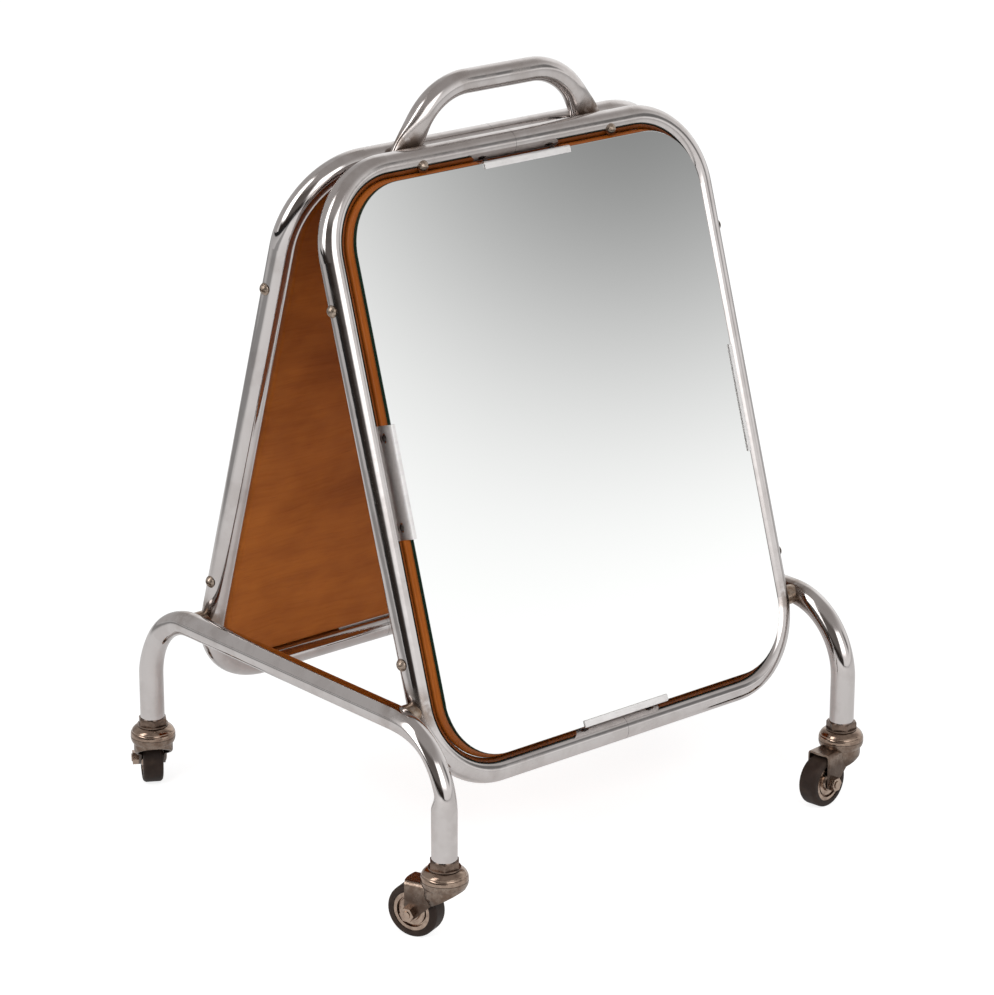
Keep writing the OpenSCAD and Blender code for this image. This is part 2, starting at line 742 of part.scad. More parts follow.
module axle_nut(name) {
    color("rosybrown") at_caster(name) on_axle() translate([0, 0, fork_out + side_gap]) difference() {
        hexagon(axle_af, axle_nut_h);
        translate([0, 0, -over]) cylinder(d = axle_d + 2 * screw_fit, h = axle_nut_h + 2 * over);
    }
}

module bush(name) {
    length = 2 * (fork_in - boss_gap);
    color("goldenrod") at_caster(name) on_axle() difference() {
        cylinder(r = bush_r, h = length, center = true);
        cylinder(d = axle_d + 2 * run_fit, h = length + over, center = true);
    }
}

// Wheel centre: a boss on the bush, a raised disc, a groove and an outer ring under the tyre
module hub(name) {
    boss = fork_in - boss_gap;
    ring = tyre_w / 2 - ring_inset;
    disc = ring - disc_inset;
    web = ring - groove_depth;
    bore = bush_r + screw_fit;
    half = [[bore, boss], [bore + boss_wall, boss], [bore + boss_wall + 1, disc],
        [hub_r - hub_ring - hub_groove, disc], [hub_r - hub_ring - hub_groove + 0.6, web],
        [hub_r - hub_ring - 0.6, web], [hub_r - hub_ring, ring], [hub_r, ring]];
    other = [for (i = [len(half) - 1:-1:0]) [half[i][0], -half[i][1]]];
    color("rosybrown") at_caster(name) on_axle() rotate_extrude() polygon(concat(half, other));
}

module tyre(name) {
    inner = hub_r + tyre_gap;
    flat = tyre_w / 2 - tyre_shoulder;
    color("dimgray") at_caster(name) on_axle() rotate_extrude() intersection() {
        union() {
            translate([inner, -tyre_w / 2]) square([wheel_r - tyre_shoulder - inner, tyre_w]);
            translate([inner, -flat]) square([wheel_r - inner, 2 * flat]);
            for (z = [-flat, flat]) translate([wheel_r - tyre_shoulder, z]) circle(r = tyre_shoulder);
        }
        translate([inner, -tyre_w / 2]) square([tyre_t, tyre_w]);
    }
}

for (end = ENDS) for (side = [0, 1])
    front_or_rear_loop(end, 2 * side - 1);
joining_sleeves();
handle();
base_rail(-1);  // left_rail
base_rail(1);  // right_rail
rail_stubs();
for (end = ENDS) board(end);
for (end = ENDS) glass(end);
for (end = ENDS) for (edge = EDGES) clip(end, edge);
for (end = ENDS) clip_screws(end);
board_screws();
tie_bolts();
tie_nuts();
tie_spacers();
swivel_balls();
for (name = CASTERS) stem(name);
for (name = CASTERS) race_cover(name);
for (name = CASTERS) fork(name);
for (name = CASTERS) axle(name);
for (name = CASTERS) axle_nut(name);
for (name = CASTERS) bush(name);
for (name = CASTERS) hub(name);
for (name = CASTERS) tyre(name);
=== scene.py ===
import math
import bmesh
import bpy
from mathutils import Matrix, Vector


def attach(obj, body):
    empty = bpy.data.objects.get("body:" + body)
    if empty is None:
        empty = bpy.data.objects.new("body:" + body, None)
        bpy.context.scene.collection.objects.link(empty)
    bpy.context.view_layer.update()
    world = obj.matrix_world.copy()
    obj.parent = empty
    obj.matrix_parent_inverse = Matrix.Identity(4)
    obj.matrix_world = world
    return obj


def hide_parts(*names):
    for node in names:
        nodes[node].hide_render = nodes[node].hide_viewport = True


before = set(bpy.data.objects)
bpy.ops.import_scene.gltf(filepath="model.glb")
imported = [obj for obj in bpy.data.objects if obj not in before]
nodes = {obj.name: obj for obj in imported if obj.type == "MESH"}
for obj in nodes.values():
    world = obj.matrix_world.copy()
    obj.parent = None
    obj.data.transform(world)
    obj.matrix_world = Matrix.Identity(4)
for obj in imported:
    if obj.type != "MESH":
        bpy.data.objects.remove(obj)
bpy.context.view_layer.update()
print("frame loaded:", len(nodes), "nodes")


# camera, fitted to the photograph; lengths in metres, angles in degrees
cameraView = {
    "azimuth": -40.74,
    "elevation": 18.728,
    "roll": 0.087,
    "distance": 3.7475,
    "target": (-0.00006, 0.0, 0.32236),
    "focalPixels": 3725.87,
    "imageWidth": 994,
    "sensorWidth": 36,
    "clipEnd": 100,
}


def makeCamera(view):
    azimuth = math.radians(view["azimuth"])
    elevation = math.radians(view["elevation"])
    roll = math.radians(view["roll"])
    away = Vector((math.sin(azimuth) * math.cos(elevation), -math.cos(azimuth) * math.cos(elevation),
                   math.sin(elevation)))
    right = (-away).cross(Vector((0, 0, 1))).normalized()
    up = right.cross(-away)
    across = right * math.cos(roll) + up * math.sin(roll)
    upward = away.cross(across)
    lens = bpy.data.cameras.new("photoCamera")
    lens.sensor_fit = "HORIZONTAL"
    lens.sensor_width = view["sensorWidth"]
    lens.lens = view["sensorWidth"] * view["focalPixels"] / view["imageWidth"]
    lens.clip_end = view["clipEnd"]
    camera = bpy.data.objects.new("photoCamera", lens)
    turn = Matrix((across, upward, away)).transposed().to_4x4()
    camera.matrix_world = Matrix.Translation(Vector(view["target"]) + away * view["distance"]) @ turn
    bpy.context.scene.collection.objects.link(camera)
    bpy.context.scene.camera = camera


makeCamera(cameraView)
print("camera ready")


# shader building
def feed(tree, socket, value):
    if isinstance(value, Wire):
        tree.links.new(value.socket, socket)
    else:
        socket.default_value = value


# a socket that takes part in plain arithmetic
class Wire:
    def __init__(self, tree, socket):
        self.tree = tree
        self.socket = socket

    def maths(self, operation, *others):
        node = self.tree.nodes.new("ShaderNodeMath")
        node.operation = operation
        for spot, value in enumerate((self,) + others):
            feed(self.tree, node.inputs[spot], value)
        return Wire(self.tree, node.outputs[0])

    def __add__(self, other):
        return self.maths("ADD", other)

    def __sub__(self, other):
        return self.maths("SUBTRACT", other)

    def __rsub__(self, other):
        return self.maths("MULTIPLY_ADD", -1.0, other)

    def __mul__(self, other):
        return self.maths("MULTIPLY", other)

    def __truediv__(self, other):
        return self.maths("DIVIDE", other)

    def __pow__(self, other):
        return self.maths("POWER", other)

    __radd__ = __add__

    def ramp(self, start, end):
        node = self.tree.nodes.new("ShaderNodeMapRange")
        node.interpolation_type = "SMOOTHSTEP"
        for name, value in (("Value", self), ("From Min", start), ("From Max", end)):
            feed(self.tree, node.inputs[name], value)
        return Wire(self.tree, node.outputs[0])

    def window(self, start, end, soft):
        return self.ramp(start - soft, start + soft) * (1.0 - self.ramp(end - soft, end + soft))


class Finish:
    def __init__(self, name, tree=None):
        if tree is None:
            self.material = bpy.data.materials.new(name)
            self.material.use_nodes = True
            tree = self.material.node_tree
        self.tree = tree
        self.tree.nodes.clear()

    def node(self, kind, settings=None, sockets=None, out=0):
        item = self.tree.nodes.new(kind)
        for key, value in (settings or {}).items():
            setattr(item, key, value)
        for key, value in (sockets or {}).items():
            feed(self.tree, item.inputs[key], value)
        return Wire(self.tree, item.outputs[out])

    def place(self, stretch=(1, 1, 1)):
        spot = self.node("ShaderNodeTexCoord", out="Object")
        return self.node("ShaderNodeMapping", {}, {"Vector": spot, "Scale": stretch})

    def axes(self, kind="Object"):
        split = self.tree.nodes.new("ShaderNodeSeparateXYZ")
        feed(self.tree, split.inputs[0], self.node("ShaderNodeTexCoord", out=kind))
        return [Wire(self.tree, socket) for socket in split.outputs]

    def joined(self, x, y, z):
        return self.node("ShaderNodeCombineXYZ", {}, {"X": x, "Y": y, "Z": z})

    # one inside reach of a place that is repeated on both sides and both ends
    def near(self, place, reach):
        x, y, z = self.axes()
        gaps = (x.maths("ABSOLUTE") - place[0], y.maths("ABSOLUTE") - place[1], z - place[2])
        apart = (gaps[0] * gaps[0] + gaps[1] * gaps[1] + gaps[2] * gaps[2]) ** 0.5
        return 1.0 - apart.ramp(*reach)

    def noise(self, scale, detail, rough, stretch=(1, 1, 1), at=None):
        at = at or self.place(stretch)
        return self.node("ShaderNodeTexNoise", {}, {"Vector": at, "Scale": scale, "Detail": detail,
                                                    "Roughness": rough})

    # patches of noise: scale, detail, roughness, then the values at which a patch starts and is full
    def patches(self, look, stretch=(1, 1, 1), at=None):
        scale, detail, rough, start, full = look
        return self.noise(scale, detail, rough, stretch, at).ramp(start, full)

    # round specks on the points of a random lattice, with their core and outer radius
    def specks(self, scale, size, at=None):
        apart = self.node("ShaderNodeTexVoronoi", {}, {"Vector": at or self.place(), "Scale": scale},
                          out="Distance")
        return 1.0 - apart.ramp(*size)

    def blend(self, factor, first, second):
        return self.node("ShaderNodeMix", {"data_type": "RGBA"}, {0: factor, 6: first, 7: second},
                         out=2)

    def bump(self, height, strength, distance):
        return self.node("ShaderNodeBump", {}, {"Height": height, "Strength": strength,
                                                "Distance": distance})

    def close(self, shader, kind="ShaderNodeOutputMaterial"):
        output = self.tree.nodes.new(kind)
        feed(self.tree, output.inputs["Surface"], shader)

    def surface(self, sockets):
        self.close(self.node("ShaderNodeBsdfPrincipled", {}, sockets))
        return self.material


def rgb(red, green, blue):
    return (red, green, blue, 1.0)


white = rgb(1, 1, 1)

# bright chromium plate, hazy where hands have rubbed it and browned by heat at the brazed joints;
# round the handle's feet the same brown also stands for painted shade
chromeLook = {
    "bright": rgb(0.585, 0.552, 0.540),
    "dull": rgb(0.45, 0.41, 0.395),
    "rubbed": rgb(0.465, 0.425, 0.405),
    "burntAndShaded": rgb(0.17, 0.115, 0.08),
    "pit": rgb(0.16, 0.12, 0.10),
    "haze": (11.0, 4.0, 0.6, 0.46, 0.72),
    "smear": (55.0, 3.0, 0.6, 0.45, 0.75),
    "smearStretch": (1, 1, 0.25),
    "mottle": (31.0, 3.0, 0.55, 0.50, 0.62),
    "worn": (6.0, 2.0, 0.5, 0.5, 0.68),
    "wornStretch": (1.3, 1, 1),
    "pitScale": 520.0,
    "pitSize": (0.08, 0.16),
    "hands": (27.0, 4.0, 0.62, 0.40, 0.62),
    "handsFrom": (0.62, 0.72),
    "scorch": (90.0, 3.0, 0.6, 0.25, 0.6),
    "handleFoot": (0.1165, 0.0, 0.700),
    "footReach": (0.011, 0.023),
    "railJoint": (0.2508, 0.1645, 0.204),
    "jointReach": (0.013, 0.034),
    "shares": {"haze": 0.45, "smear": 0.2, "mottle": 0.3, "rubbed": 0.75, "heatAndShade": 0.8, "pits": 0.8},
    "rough": 0.045,
    "roughens": {"haze": 0.12, "smear": 0.05, "rubbed": 0.15, "heatAndShade": 0.2, "pits": 0.3},
    "dents": (38.0, 2.0, 0.5),
    "dentStrength": 0.25,
    "dentDepth": 0.0006,
}


def makeChrome(look):
    f = Finish("chromePlate")
    share, roughens = look["shares"], look["roughens"]
    height = f.axes()[2]
    haze = f.patches(look["haze"])
    smear = f.patches(look["smear"], look["smearStretch"])
    mottle = f.patches(look["mottle"])
    worn = f.patches(look["worn"], look["wornStretch"])
    pits = f.specks(look["pitScale"], look["pitSize"]) * worn
    rubbed = f.patches(look["hands"]) * height.ramp(*look["handsFrom"])
    # browned by heat at the brazed joints; round the handle's feet this also paints shade
    heatAndShade = f.near(look["handleFoot"], look["footReach"]).maths(
        "MAXIMUM", f.near(look["railJoint"], look["jointReach"]))
    heatAndShade = heatAndShade * f.patches(look["scorch"])
    faded = haze * share["haze"] + smear * share["smear"] + mottle * share["mottle"]
    colour = f.blend(faded, look["bright"], look["dull"])
    colour = f.blend(rubbed * share["rubbed"], colour, look["rubbed"])
    colour = f.blend(heatAndShade * share["heatAndShade"], colour, look["burntAndShaded"])
    colour = f.blend(pits * share["pits"], colour, look["pit"])
    rough = look["rough"] + haze * roughens["haze"] + smear * roughens["smear"]
    rough = rough + rubbed * roughens["rubbed"] + heatAndShade * roughens["heatAndShade"] + pits * roughens["pits"]
    dents = f.bump(f.noise(*look["dents"]), look["dentStrength"], look["dentDepth"])
    return f.surface({"Base Color": colour, "Metallic": 1.0, "Roughness": rough, "Normal": dents})


# the loops, which the boards and the glass in them and the handle above follow
loopShape = {
    "lean": math.radians(17),
    "length": 0.585,
    "topY": 0.01565,
    "bottomZ": 0.1315,
}
bottomY = loopShape["topY"] + loopShape["length"] * math.sin(loopShape["lean"])
topZ = loopShape["bottomZ"] + loopShape["length"] * math.cos(loopShape["lean"])


# places in a leaning board: across it, through it from the loop's middle, and up its slope
def boardAxes(f, loop):
    x, y, z = f.axes()
    inward = y.maths("ABSOLUTE") - bottomY
    lift = z - loop["bottomZ"]
    depth = inward * math.cos(loop["lean"]) + lift * math.sin(loop["lean"])
    rise = lift * math.cos(loop["lean"]) - inward * math.sin(loop["lean"])
    return x, depth, rise


# varnished plywood, darker towards its top in painted shade, with its layers showing in the rounded
# edge
boardLook = {
    "front": 0.014,
    "thickness": 0.018,
    "light": rgb(0.56, 0.168, 0.022),
    "dark": rgb(0.27, 0.066, 0.006),
    "pore": rgb(0.11, 0.028, 0.005),
    "core": rgb(0.30, 0.075, 0.008),
    "edge": rgb(0.22, 0.052, 0.006),
    "wander": (4.5, 3.0, 0.55),
    "wanderBy": 0.035,
    "flowAcross": 3.0,
    "flowThrough": 17.0,
    "fibreAcross": 24.0,
    "fibreThrough": 380.0,
    "figure": (1.0, 4.0, 0.6, 0.32, 0.70),
    "cloud": (7.0, 3.0, 0.55, 0.35, 0.68),
    "blotch": (19.0, 3.0, 0.6, 0.36, 0.7),
    "blotchStretch": (1, 1, 1.7),
    "grain": (1.0, 3.0, 0.6, 0.35, 0.75),
    "pores": (2.2, 2.0, 0.5, 0.66, 0.8),
    "shadeFrom": (0.15, 0.55),
    "knotAcross": 5.0,
    "knotUp": 9.0,
    "knotSize": (0.02, 0.05),
    "edgeReach": (0.0004, 0.006),
    "plies": 7,
    "plyLine": (0.2, 0.7),
    "coreFrom": (-0.05, -0.12),
    "coreTo": (-0.88, -0.95),
    "shares": {"figure": 0.30, "cloud": 0.34, "blotch": 0.20, "grain": 0.13, "shade": 0.32,
               "pores": 0.35, "knots": 0.7, "core": 0.5, "front": 0.55},
    "dust": (14.0, 3.0, 0.5, 0.4, 0.7),
    "rough": 0.36,
    "roughens": {"grain": 0.12, "dust": 0.08, "front": -0.06},
    "poreDepth": 0.8,
    "reliefStrength": 0.10,
    "reliefDepth": 0.0004,
    "coat": 0.35,
    "coatRough": 0.14,
    "specular": 0.14,
}


def makePlywood(look, loop):
    f = Finish("varnishedPlywood")
    share, roughens = look["shares"], look["roughens"]
    x, depth, rise = boardAxes(f, loop)
    level = rise + f.noise(*look["wander"]) * look["wanderBy"]
    across, through = look["flowAcross"], look["flowThrough"]
    flow = f.joined(x * across, level * through, depth * through)
    across, through = look["fibreAcross"], look["fibreThrough"]
    fibre = f.joined(x * across, level * through, depth * through)
    grain = f.patches(look["grain"], at=fibre)
    pores = f.patches(look["pores"], at=fibre)
    darker = f.patches(look["figure"], at=flow) * share["figure"]
    darker = darker + f.patches(look["cloud"]) * share["cloud"]
    darker = darker + f.patches(look["blotch"], look["blotchStretch"]) * share["blotch"]
    # painted shade: the rise ramp makes the board darker towards its top
    darker = darker + grain * share["grain"] + rise.ramp(*look["shadeFrom"]) * share["shade"]
    colour = f.blend(darker, look["light"], look["dark"])
    colour = f.blend(pores * share["pores"], colour, look["pore"])
    sheet = f.joined(x * look["knotAcross"], level * look["knotUp"], 0.0)
    knots = f.specks(1.0, look["knotSize"], at=sheet)
    colour = f.blend(knots * share["knots"], colour, look["pore"])
    back = look["front"] - look["thickness"]
    front = depth.ramp(back + look["edgeReach"][0], back + look["edgeReach"][1])
    ply = (depth - look["front"]) / look["thickness"]
    layer = (ply * (look["plies"] * math.pi)).maths("SINE").ramp(*look["plyLine"])
    core = ply.ramp(*look["coreFrom"]) * (1.0 - ply.ramp(*look["coreTo"])) * layer
    colour = f.blend(core * share["core"], colour, look["core"])
    colour = f.blend(front * share["front"], colour, look["edge"])
    rough = look["rough"] + grain * roughens["grain"] + f.patches(look["dust"]) * roughens["dust"]
    rough = rough + front * roughens["front"]
    relief = f.bump(grain + pores * look["poreDepth"], look["reliefStrength"], look["reliefDepth"])
    return f.surface({"Base Color": colour, "Roughness": rough, "Normal": relief,
                      "Coat Weight": front * look["coat"], "Coat Roughness": look["coatRough"],
                      "Specular IOR Level": look["specular"]})


# silvered glass: a clear reflecting face and a dark green ground edge
mirrorLook = {
    "silver": rgb(0.955, 0.965, 0.955),
    "edge": rgb(0.006, 0.020, 0.012),
    "face": 0.0188,
    "faceSoft": 0.0001,
    "dust": (7.0, 5.0, 0.65, 0.55, 0.8),
    "rough": 0.008,
    "edgeRough": 0.12,
    "dustRough": 0.01,
}


def makeMirror(look, loop):
    f = Finish("silveredGlass")
    depth = boardAxes(f, loop)[1]
    face = depth.ramp(look["face"] - look["faceSoft"], look["face"] + look["faceSoft"])
    colour = f.blend(face, look["edge"], look["silver"])
    rough = look["rough"] + (1.0 - face) * look["edgeRough"]
    rough = rough + f.patches(look["dust"]) * look["dustRough"]
    return f.surface({"Base Color": colour, "Metallic": face, "Roughness": rough})


# satin bent sheet with fine lines along it
clipLook = {
    "metal": rgb(0.87, 0.85, 0.84),
    "dull": rgb(0.70, 0.68, 0.67),
    "lines": (260.0, 2.0, 0.6, 0.35, 0.7),
    "linesStretch": (0.15, 1, 1),
    "patch": (45.0, 3.0, 0.55, 0.4, 0.75),
    "shares": {"lines": 0.3, "patch": 0.4},
    "rough": 0.46,
    "patchRough": 0.12,
    "lineStrength": 0.12,
    "lineDepth": 0.0002,
}


def makeClip(look):
    f = Finish("satinSheet")
    lines = f.patches(look["lines"], look["linesStretch"])
    patch = f.patches(look["patch"])
    dulled = lines * look["shares"]["lines"] + patch * look["shares"]["patch"]
    return f.surface({"Base Color": f.blend(dulled, look["metal"], look["dull"]), "Metallic": 1.0,
                      "Roughness": look["rough"] + patch * look["patchRough"],
                      "Normal": f.bump(lines, look["lineStrength"], look["lineDepth"])})


# plated metal that has lost its shine, with grime in patches; scales are times each metal's own
tarnishLook = {
    "patch": (4.0, 0.6, 0.38, 0.68),
    "dirt": (5.0, 0.65, 0.55, 0.78),
    "dirtScale": 2.3,
    "dirtShare": 0.7,
    "dirtDulls": 0.45,
    "lowShadeShare": 0.72,
    "patchRough": 0.09,
    "dirtRough": 0.2,
    "grit": (3.0, 0.6),
    "gritScale": 12.0,
    "gritStrength": 0.10,
    "gritDepth": 0.0003,
}

# painted shade: the metal turns darker below the two heights in low
metals = {
    "tarnishedNickel": {"metal": rgb(0.35, 0.262, 0.205), "dull": rgb(0.22, 0.155, 0.12),
                        "grimeAndShade": rgb(0.05, 0.03, 0.022), "rough": 0.11, "scale": 110.0},
    "hubNickel": {"metal": rgb(0.45, 0.345, 0.275), "dull": rgb(0.30, 0.22, 0.175),
                  "grimeAndShade": rgb(0.07, 0.045, 0.035), "rough": 0.17, "scale": 110.0},
    "forkNickel": {"metal": rgb(0.28, 0.220, 0.18), "dull": rgb(0.175, 0.122, 0.092),
                   "grimeAndShade": rgb(0.055, 0.036, 0.028), "rough": 0.26, "scale": 110.0,
                   "low": (0.040, 0.058)},
    "dullNickel": {"metal": rgb(0.20, 0.145, 0.115), "dull": rgb(0.12, 0.085, 0.065),
                   "grimeAndShade": rgb(0.04, 0.025, 0.02), "rough": 0.27, "scale": 130.0},
    "brassyScrew": {"metal": rgb(0.40, 0.325, 0.265), "dull": rgb(0.23, 0.175, 0.135),
                    "grimeAndShade": rgb(0.07, 0.045, 0.032), "rough": 0.32, "scale": 300.0},
    # the clip screws are coloured near black as painted shade in their slots
    "paintedShadeScrew": {"metal": rgb(0.10, 0.085, 0.08), "dull": rgb(0.05, 0.042, 0.04),
                  "grimeAndShade": rgb(0.02, 0.015, 0.013), "rough": 0.38, "scale": 320.0},
    "brazedSteel": {"metal": rgb(0.40, 0.33, 0.27), "dull": rgb(0.22, 0.14, 0.09),
                    "grimeAndShade": rgb(0.07, 0.04, 0.025), "rough": 0.32, "scale": 150.0},
    "plainSteel": {"metal": rgb(0.50, 0.50, 0.50), "dull": rgb(0.36, 0.35, 0.34),
                   "grimeAndShade": rgb(0.12, 0.10, 0.09), "rough": 0.30, "scale": 120.0},
    "bushBrass": {"metal": rgb(0.60, 0.45, 0.22), "dull": rgb(0.40, 0.28, 0.13),
                  "grimeAndShade": rgb(0.09, 0.06, 0.03), "rough": 0.28, "scale": 200.0},
}


def makeTarnished(name, look, metal):
    f = Finish(name)
    scale = metal["scale"]
    patch = f.patches((scale,) + look["patch"])
    dirt = f.patches((scale * look["dirtScale"],) + look["dirt"])
    grit = f.noise(scale * look["gritScale"], *look["grit"])
    colour = f.blend(patch, metal["metal"], metal["dull"])
    if "low" in metal:
        # painted shade: the fork darker low down, blended towards its grime colour
        shadedLow = 1.0 - f.axes()[2].ramp(*metal["low"])
        colour = f.blend(shadedLow * look["lowShadeShare"], colour, metal["grimeAndShade"])
    colour = f.blend(dirt * look["dirtShare"], colour, metal["grimeAndShade"])
    rough = metal["rough"] + patch * look["patchRough"] + dirt * look["dirtRough"]
    return f.surface({"Base Color": colour, "Metallic": 1.0 - dirt * look["dirtDulls"],
                      "Roughness": rough,
                      "Normal": f.bump(grit, look["gritStrength"], look["gritDepth"])})


# worn rubber with a little dust
tyreLook = {
    "rubber": rgb(0.021, 0.013, 0.010),
    "worn": rgb(0.050, 0.034, 0.026),
    "patch": (60.0, 4.0, 0.6, 0.4, 0.75),
    "wornShare": 0.8,
    "rough": 0.48,
    "patchRough": 0.18,
    "grit": (900.0, 3.0, 0.6),
    "gritStrength": 0.2,
    "gritDepth": 0.0003,
    "specular": 0.16,
}


def makeTyre(look):
    f = Finish("wornRubber")
    patch = f.patches(look["patch"])
    grit = f.noise(*look["grit"])
    return f.surface({"Base Color": f.blend(patch * look["wornShare"], look["rubber"], look["worn"]),
                      "Roughness": look["rough"] + patch * look["patchRough"],
                      "Normal": f.bump(grit, look["gritStrength"], look["gritDepth"]),
                      "Specular IOR Level": look["specular"]})


chromePlate = makeChrome(chromeLook)
varnishedPlywood = makePlywood(boardLook, loopShape)
silveredGlass = makeMirror(mirrorLook, loopShape)
satinSheet = makeClip(clipLook)
tarnished = {name: makeTarnished(name, tarnishLook, metal) for name, metal in metals.items()}
wornRubber = makeTyre(tyreLook)
print("materials ready")

# the first rule with a word that a node's name holds gives its finish
finishRules = (
    (("_board",), varnishedPlywood),
    (("_mirror",), silveredGlass),
    (("_clip_screws",), tarnished["paintedShadeScrew"]),
    (("_clip_",), satinSheet),
    (("board_screws", "tie_bolts", "tie_nuts"), tarnished["brassyScrew"]),
    (("joining_sleeves", "tie_spacers", "swivel_balls"), tarnished["plainSteel"]),
    (("rail_stubs",), tarnished["brazedSteel"]),
    (("_loop_", "_rail", "handle"), chromePlate),
    (("_tyre",), wornRubber),
    (("_bush",), tarnished["bushBrass"]),
    (("_fork",), tarnished["forkNickel"]),
    (("_hub", "_axle"), tarnished["hubNickel"]),
    (("_stem",), tarnished["dullNickel"]),
    (("_race_cover",), tarnished["tarnishedNickel"]),
)

for name, item in nodes.items():
    item.data.materials.clear()
    item.data.materials.append(next(finish for words, finish in finishRules
                                    if any(word in name for word in words)))
print("CAD nodes painted")


# tubes swept for the looks; edges with a sharper angle stay sharp
tubeFinish = {"merge": 1e-6, "sharp": math.radians(40)}


# a grid rolled into a tube along its stations; place gives a station's point at a turn round the tube
def rollTube(stations, sides, place):
    bm = bmesh.new()
    rows = len(stations) - 1
    bmesh.ops.create_grid(bm, x_segments=rows, y_segments=sides, size=0.5)
    for vert in bm.verts:
        vert.co = place(stations[round((vert.co.x + 0.5) * rows)], 2 * math.pi * (vert.co.y + 0.5))
    bmesh.ops.remove_doubles(bm, verts=bm.verts, dist=tubeFinish["merge"])
    return bm


def rimEdges(bm):
    return [edge for edge in bm.edges if edge.is_boundary]


# closes the ends, turns the faces outwards and hands the tube over in place of its CAD node
def finishTube(bm, name, node):
    bmesh.ops.holes_fill(bm, edges=rimEdges(bm))
    bmesh.ops.recalc_face_normals(bm, faces=bm.faces)
    for face in bm.faces:
        face.smooth = True
    for edge in bm.edges:
        edge.smooth = edge.calc_face_angle(0.0) < tubeFinish["sharp"]
    mesh = bpy.data.meshes.new(name)
    bm.to_mesh(mesh)
    bm.free()
    mesh.materials.append(chromePlate)
    tube = bpy.data.objects.new(name, mesh)
    bpy.context.scene.collection.objects.link(tube)
    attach(tube, "frame")
    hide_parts(node)


def eased(share):
    share = min(max(share, 0.0), 1.0)
    return share * share * (3 - 2 * share)


# base rails: each is one tube, bent down into two legs. Its bends are pressed on the outer side, the
# front ones more, and there the pressed face turns towards the inside of the bend
railShape = {
    "radius": 0.0125,
    "wall": 0.0015,
    "drawn": 0.0002,
    "front": {"pressed": 0.008, "curve": 0.030, "tilt": math.radians(-40), "low": 0.016, "top": 0.060},
    "rear": {"pressed": 0.0105, "curve": 0.014, "tilt": 0.0, "low": 0.035, "top": 0.034},
    "ridge": 0.0006,
    "bend": 0.075,
    "x": 0.2655,
    "legY": 0.2335,
    "z": 0.204,
    "legEnd": 0.083,
    "fullLow": 0.004,
    "boreSeen": 0.02,
    "sides": 128,
    "legSteps": 4,
    "bendSteps": 80,
    "railSteps": 6,
}


# stations from a leg's foot to the middle of the rail: place in Y and Z, direction, share of pressing
def railStations(look, end):
    bend = look["bend"]
    arc = bend * math.pi / 2
    leg = look["z"] - bend - look["legEnd"]
    half = look["legY"] - bend
    spots = [leg * step / look["legSteps"] for step in range(look["legSteps"])]
    spots += [leg + arc * step / look["bendSteps"] for step in range(look["bendSteps"] + 1)]
    spots += [leg + arc + half * step / look["railSteps"] for step in range(1, look["railSteps"] + 1)]
    stations = []
    for spot in spots:
        turned = min(max((spot - leg) / bend, 0.0), math.pi / 2)
        y = look["legY"] - bend * (1 - math.cos(turned)) - max(spot - leg - arc, 0.0)
        z = look["legEnd"] + min(spot, leg) + bend * math.sin(turned)
        share = eased((spot - leg - look["fullLow"]) / end["low"])
        share = share * eased((leg + arc - spot) / end["top"])
        stations.append((y, z, turned, share))
    return stations


# radius of a bend's section, where the ridges between the round and the pressed side are rounded off
def sectionRadius(look, end, share, turn):
    offset = end["curve"] - end["pressed"]
    turn = turn - end["tilt"]
    reach = max(end["curve"] ** 2 - (offset * math.sin(turn)) ** 2, 0.0)
    flat = -offset * math.cos(turn) + math.sqrt(reach)
    full = look["radius"] - look["drawn"]
    ridge = look["ridge"]
    nearer = min(flat, full)
    sunk = math.log(math.exp((nearer - flat) / ridge) + math.exp((nearer - full) / ridge))
    return look["radius"] * (1 - share) + (nearer - ridge * sunk) * share


def makeRail(look, name, node, side):
    front, rear = look["front"], look["rear"]
    stations = [(-1, front, station) for station in railStations(look, front)]
    stations += [(1, rear, station) for station in railStations(look, rear)[-2::-1]]

    def place(station, turn):
        end, press, (y, z, turned, share) = station
        radius = sectionRadius(look, press, share, turn)
        out = radius * math.sin(turn)
        return (side * (look["x"] + radius * math.cos(turn)), end * (y + out * math.cos(turned)),
                z + out * math.sin(turned))

    bm = rollTube(stations, look["sides"], place)
    for lift in (0.0, look["boreSeen"]):  # the tube's wall at a leg's foot, then the bore up inside it
        grown = bmesh.ops.extrude_edge_only(bm, edges=rimEdges(bm))["geom"]
        for vert in (item for item in grown if isinstance(item, bmesh.types.BMVert)):
            axis = Vector((side * look["x"], math.copysign(look["legY"], vert.co.y), vert.co.z))
            if not lift:
                vert.co = axis + (vert.co - axis) * (1 - look["wall"] / look["radius"])
            vert.co.z += lift
    finishTube(bm, name, node)


makeRail(railShape, "leftRailTube", "left_rail", -1)
makeRail(railShape, "rightRailTube", "right_rail", 1)
print("base rails ready")


# handle: one bent tube whose feet are pinched flat to stand between the two top tubes
handleShape = {
    "radius": 0.012,
    "footX": 0.1195,
    "cornerX": 0.0805,
    "rise": 0.0635,
    "bend": 0.071,
    "footLift": 0.0055,
    "overrun": 0.016,
    "pinchLength": 0.040,
    "pinchedHalf": 0.0048,
    "pinchedWide": 0.0162,
    "pinchedSquare": 3.0,
    "sides": 128,
    "topSteps": 4,
    "bendSteps": 40,
    "legSteps": 40,
}


